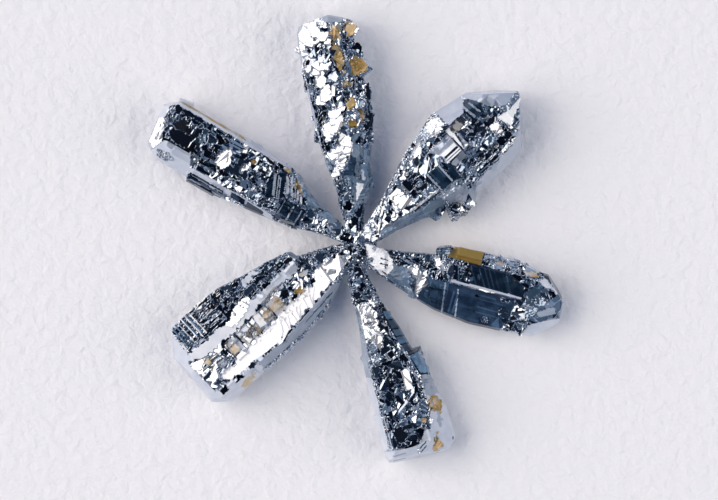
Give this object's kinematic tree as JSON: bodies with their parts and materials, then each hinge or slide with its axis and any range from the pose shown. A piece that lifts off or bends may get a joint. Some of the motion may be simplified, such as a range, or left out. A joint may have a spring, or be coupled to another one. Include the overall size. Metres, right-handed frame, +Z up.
{
  "type": "osmium crystal star",
  "caption": "Star of grown-together osmium crystals, thin and joined at the hub, thick and faceted at the ends, lying flat.",
  "frame": {"origin": "under the middle of the star's box, at the level of the surface that it rests on", "axes": "+Z up out of the surface, +Y along the north and south crystals, +X to the right seen from above"},
  "size_m": [0.021, 0.0225, 0.003],
  "materials": {
    "osmium": "bright bluish metal, mirror-like crystal faces with a little yellow tarnish"
  },
  "bodies": {
    "root": {"osmium_star": "osmium"}
  },
  "joints": []
}
